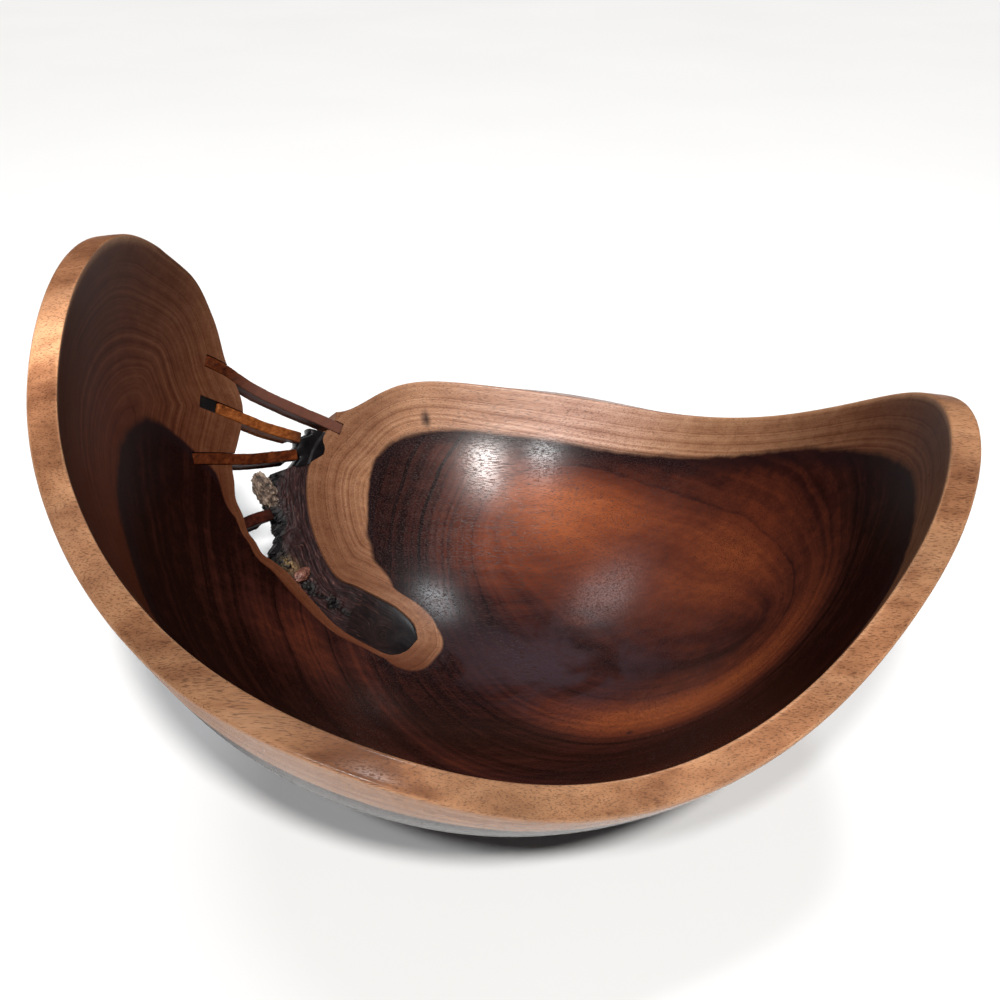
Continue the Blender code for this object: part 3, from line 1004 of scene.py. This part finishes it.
def bowl_wood():
    """Polished wood, pale near the log's outside and dark within, with streaks along the log."""
    paint = Paint("bowl_wood_finish", 0.3, 0.17)
    along_log = paint.stretch(paint.place, STREAK_STRETCH)
    wobble = paint.noise(paint.stretch(paint.place, (0.5, 1.0, 1.0)), 22.0, 3.0, 0.5)
    drift = paint.times(wobble, 6.0, -3.0)
    streak = paint.noise(along_log, 160.0, 4.0, 0.6, 0.3)
    fine_streak = paint.noise(along_log, 620.0, 3.0, 0.6)
    pore = pores(paint)

    # The edge between pale and dark wood, with a darker line on the dark side.
    edge = paint.times(drift, 0.9, paint.value("sapwood_edge"))
    edge = paint.around(edge, streak, 6.0)
    border = paint.around(paint.value("seam_border"), wobble, 0.24)
    in_heart = paint.times(paint.band(edge, -3.0, 2.6), paint.band(border, 0.93, 1.07))
    near_edge = paint.band(paint.math("ABSOLUTE", paint.math("SUBTRACT", edge, 4.0)), 0.0, 12.0, 0.75, 0.0)
    heart = paint.mix(near_edge, dark_wood(paint, drift, streak, fine_streak), EDGE_LINE)
    colour = paint.mix(in_heart, pale_wood(paint, drift, streak), heart)

    pore_strength = paint.times(in_heart, 0.25, 0.5)
    colour = paint.mix(paint.times(pore, pore_strength), colour, PORE_BROWN)
    knot = paint.times(wobble, 0.8, paint.value("small_knot"))
    colour = paint.mix(paint.band(knot, 0.7, 2.1, 0.9, 0.0), colour, KNOT_BLACK)
    gloss = paint.value("gloss")
    rough = paint.times(pore, 0.12, paint.times(streak, 0.07, 0.34))
    paint.set("Specular IOR Level", paint.times(gloss, 0.22))
    grain = paint.times(pore, -1.0, paint.times(fine_streak, 0.15))
    return paint.finish(colour, paint.times(gloss, -0.15, rough), paint.bump(grain, 0.00004, 0.45))


def bark_streaks(paint):
    """Broad and fine streaks that run along the seam and curl round its knots."""
    flat = paint.join(paint.value("flow"), paint.times(paint.value("run"), 0.09))
    return paint.noise(flat, 0.9, 5.0, 0.65, 0.5), paint.noise(flat, 1.9, 3.0, 0.5, 0.4)


def bark_surface():
    """Dark streaked bark, blacker near the pool and where it crumbles, with pale fibres in one place and
    painted shade in its sunken crack.
    """
    paint = Paint("bark_finish", 0.7, 0.2)
    streak, thread = bark_streaks(paint)
    mottle = paint.noise(paint.place, 260.0, 5.0, 0.6)
    colour = paint.ramp(
        streak, (0.3, (0.004, 0.0018, 0.002)), (0.47, (0.014, 0.0055, 0.0056)),
        (0.6, (0.036, 0.0145, 0.014)), (0.78, (0.08, 0.034, 0.029)),
    )
    threads = paint.band(thread, 0.63, 0.69, 0.0, 0.6)
    colour = paint.mix(threads, colour, (0.22, 0.095, 0.07))
    near_pool = paint.band(paint.value("run"), 22.0, 58.0, 0.75, 0.0)
    colour = paint.mix(near_pool, colour, (0.007, 0.0042, 0.0045))
    crumbs = paint.ramp(
        mottle, (0.35, (0.002, 0.0018, 0.002)), (0.55, (0.008, 0.007, 0.0075)),
        (0.75, (0.05, 0.04, 0.038)),
    )
    colour = paint.mix(paint.band(paint.value("crumble"), 0.25, 0.8), colour, crumbs)
    fibres = paint.times(paint.value("fibre"), paint.band(mottle, 0.4, 0.55))
    colour = paint.mix(fibres, colour, (0.3, 0.19, 0.085))
    # Painted shade: the sunken crack is darkened to nearly black.
    painted_crack_shade = paint.band(paint.value("height"), -1.2, -0.1, 0.9, 0.0)
    colour = paint.mix(painted_crack_shade, colour, (0.004, 0.003, 0.003))
    relief = paint.bump(streak, 0.0003, 0.6)
    return paint.finish(colour, paint.times(mottle, 0.4, 0.34), paint.bump(mottle, 0.00025, 0.6, relief))


def black_resin(name, brown):
    """Nearly black resin with dust and faint swirls; brown shows the bark under it."""
    paint = Paint(name, 0.3, 0.2)
    swirl = paint.noise(paint.place, 90.0, 4.0, 0.55, 1.2)
    dust = paint.noise(paint.place, 1400.0, 2.0, 0.6)
    colour = paint.ramp(
        swirl, (0.3, (0.0022, 0.0018, 0.0022)), (0.6, (0.006, 0.0045, 0.005)),
        (0.8, (0.016, 0.01, 0.0095)),
    )
    if brown:
        streak, thread = bark_streaks(paint)
        under = paint.ramp(
            streak, (0.3, (0.0035, 0.0024, 0.0028)), (0.52, (0.01, 0.005, 0.005)),
            (0.75, (0.04, 0.019, 0.015)),
        )
        under = paint.mix(paint.band(thread, 0.64, 0.7, 0.0, 0.45), under, (0.16, 0.068, 0.048))
        colour = paint.mix(paint.value("brown"), colour, under)
    colour = paint.mix(paint.band(dust, 0.66, 0.78, 0.0, 0.25), colour, (0.1, 0.09, 0.085))
    return paint.finish(colour, paint.times(swirl, 0.35, 0.16), paint.bump(swirl, 0.0004, 0.35))


def stitch_wood(name, dark, middle, light, aged, roughness):
    """Split wood with its grain along the bar, and painted shade on its underside."""
    paint = Paint(name, roughness, 0.12)
    flat = paint.join(paint.times(paint.value("run"), 0.045), 0.0)
    grain = paint.vector("ADD", flat, paint.stretch(paint.place, (260.0, 260.0, 620.0)))
    streak = paint.noise(grain, 0.9, 5.0, 0.65, 0.6)
    fine = paint.noise(paint.stretch(paint.place, (500.0, 500.0, 1500.0)), 1.0, 3.0, 0.6)
    blotch = paint.noise(paint.place, 120.0)
    tone = paint.math("ADD", paint.times(streak, 0.65), paint.times(blotch, 0.35))
    colour = paint.ramp(tone, (0.34, dark), (0.5, middle), (0.66, light))
    colour = paint.mix(paint.band(fine, 0.58, 0.72, 0.0, 0.5), colour, dark)
    colour = paint.mix(paint.times(paint.value("aged"), 0.75), colour, aged)
    # Painted shade on the bar's underside.
    colour = paint.mix(paint.times(paint.value("under"), 0.8), colour, (0.018, 0.006, 0.005))
    relief = paint.bump(paint.times(fine, 0.5, streak), 0.00025, 0.7)
    return paint.finish(colour, paint.times(streak, 0.25, roughness - 0.12), relief)


def lump_surface(name, low, middle, high, roughness, relief):
    """Mottled and pitted surface, lighter where the lump stands out."""
    paint = Paint(name, roughness)
    mottle = paint.noise(paint.place, 420.0, 5.0, 0.65, 0.4)
    tone = paint.times(mottle, 0.9, 0.05)
    tone = paint.times(paint.value("relief"), 1.4, tone)
    colour = paint.ramp(tone, (0.28, low), (0.5, middle), (0.74, high))
    pits = paint.band(paint.cells(paint.place, 900.0), 0.1, 0.32, 0.75, 0.0)
    colour = paint.mix(paint.times(pits, relief), colour, low)
    bump = paint.bump(mottle, 0.0006 * relief, 0.9)
    return paint.finish(colour, paint.times(mottle, 0.3, roughness - 0.15), bump)


def floor_finish():
    paint = Paint("pale_floor", 0.85, 0.2)
    cloud = paint.noise(paint.place, 3.0)
    paint.set("Base Color", paint.ramp(cloud, (0.3, (0.84, 0.84, 0.84)), (0.7, (0.86, 0.86, 0.86))))
    return paint.material


# ------------ assembly, camera and light

def add_piece(item, material, node):
    """Gives a piece its material, and lets it stand in for its CAD node."""
    item.data.materials.clear()
    item.data.materials.append(material)
    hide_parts(node)
    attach(item, "root")


def build_object():
    bowl = bowl_mesh()
    paint_bowl(bowl)
    add_piece(bowl, bowl_wood(), "bowl")
    add_piece(bark_mesh(), bark_surface(), "bark_seam")
    add_piece(pool_mesh(), black_resin("pool_resin", True), "seam_resin")
    plug_finish = black_resin("plug_resin", False)
    add_piece(back_plug_mesh(), plug_finish, "back_resin")
    add_piece(wing_plug_mesh(), plug_finish, "wing_resin")
    flake = lump("bark_flake_lump", -121.6, 97.0, 0.0058, (0.0056, 0.0105, 0.005), 9, 0.2)
    flake_finish = lump_surface(
        "flake_finish", (0.01, 0.007, 0.006), (0.1, 0.062, 0.042), (0.32, 0.235, 0.175), 0.8, 0.6)
    add_piece(flake, flake_finish, "bark_flake")
    nodule = lump("burl_nodule_lump", -114.0, 62.3, 0.001, (0.006, 0.0032, 0.003), 4, 0.1)
    nodule_finish = lump_surface(
        "nodule_finish", (0.035, 0.011, 0.008), (0.145, 0.052, 0.034), (0.27, 0.12, 0.08), 0.5, 0.4)
    add_piece(nodule, nodule_finish, "burl_nodule")
    red_brown = stitch_wood(
        "red_brown_stitch", (0.016, 0.003, 0.001), (0.066, 0.0135, 0.0036), (0.14, 0.034, 0.009),
        (0.14, 0.06, 0.044), 0.36)
    orange_brown = stitch_wood(
        "orange_brown_stitch", (0.05, 0.012, 0.003), (0.2, 0.054, 0.0125), (0.34, 0.115, 0.032),
        (0.05, 0.016, 0.009), 0.38)
    dark_red = stitch_wood(
        "dark_red_stitch", (0.008, 0.002, 0.0015), (0.034, 0.0065, 0.0038), (0.075, 0.017, 0.009),
        (0.014, 0.005, 0.004), 0.42)
    stitches = (
        ("stitch_upper", 11, 0.12, 0.45, red_brown, "stitch_wood"),
        ("stitch_second", 17, 0.8, 1.0, orange_brown, "stitch_light_wood"),
        ("stitch_third", 23, 1.2, 1.6, red_brown, "stitch_wood"),
        ("stitch_lower", 29, 0.75, 1.0, dark_red, "stitch_red_wood"),
    )
    for name, seed, aged_from, aged_to, finish, slot_name in stitches:
        add_piece(stitch_mesh(name, seed, aged_from, aged_to), finish, name)


CAMERA_TARGET = Vector((-0.005, 0.047, 0.108))
CAMERA_DISTANCE = 0.6
CAMERA_ELEVATION = 30.0
CAMERA_LENS = 42.73
LIT_POINT = Vector((0.0, 0.03, 0.06))
LAMP_DISTANCE = 1.3
FLOOR_HALF = 6.0


def add_camera():
    data = bpy.data.cameras.new("camera")
    data.sensor_width = 36.0
    data.lens = CAMERA_LENS
    camera = link("camera", data)
    tilt = math.radians(CAMERA_ELEVATION)
    camera.location = CAMERA_TARGET + CAMERA_DISTANCE * Vector((0.0, -math.cos(tilt), math.sin(tilt)))
    camera.rotation_euler = (math.pi / 2 - tilt, 0.0, 0.0)
    bpy.context.scene.camera = camera


def add_lamp(name, kind, direction, strength, size, colour):
    """A sun or a round area lamp that shines on the bowl from a direction."""
    data = bpy.data.lights.new(name, kind)
    data.energy = strength
    data.color = colour
    if kind == "SUN":
        data.angle = math.radians(size)
    else:
        data.shape = "DISK"
        data.size = size
    lamp = link(name, data)
    from_bowl = Vector(direction).normalized()
    lamp.location = LIT_POINT + LAMP_DISTANCE * from_bowl
    lamp.rotation_euler = from_bowl.to_track_quat("Z", "Y").to_euler()


def add_studio():
    """A wide pale floor, a dim sky, and four lamps above and in front of the bowl."""
    points = [(x * FLOOR_HALF, y * FLOOR_HALF, 0.0) for x, y in ((-1, -1), (1, -1), (1, 1), (-1, 1))]
    floor = add_mesh("floor", points, [(0, 1, 2, 3)])
    floor.location.z = -0.0002
    floor.data.materials.append(floor_finish())
    world = bpy.data.worlds.new("studio")
    world.use_nodes = True
    background = world.node_tree.nodes["Background"]
    background.inputs["Color"].default_value = (0.92, 0.96, 1.0, 1.0)
    background.inputs["Strength"].default_value = 0.08
    bpy.context.scene.world = world
    add_lamp("front_key", "SUN", (0.137, -0.603, 0.786), 2.9, 5.5, (1.0, 0.98, 0.95))
    add_lamp("front_second", "SUN", (-0.18, -0.62, 0.765), 1.2, 4.5, (1.0, 1.0, 1.0))
    add_lamp("right_soft", "AREA", (0.35, 0.14, 0.93), 3.3, 0.14, (0.93, 0.97, 1.0))
    add_lamp("left_soft", "AREA", (-0.43, 0.16, 0.89), 3.0, 0.34, (0.93, 0.96, 1.0))
    bpy.context.scene.view_settings.view_transform = "Standard"


build_object()
add_camera()
add_studio()
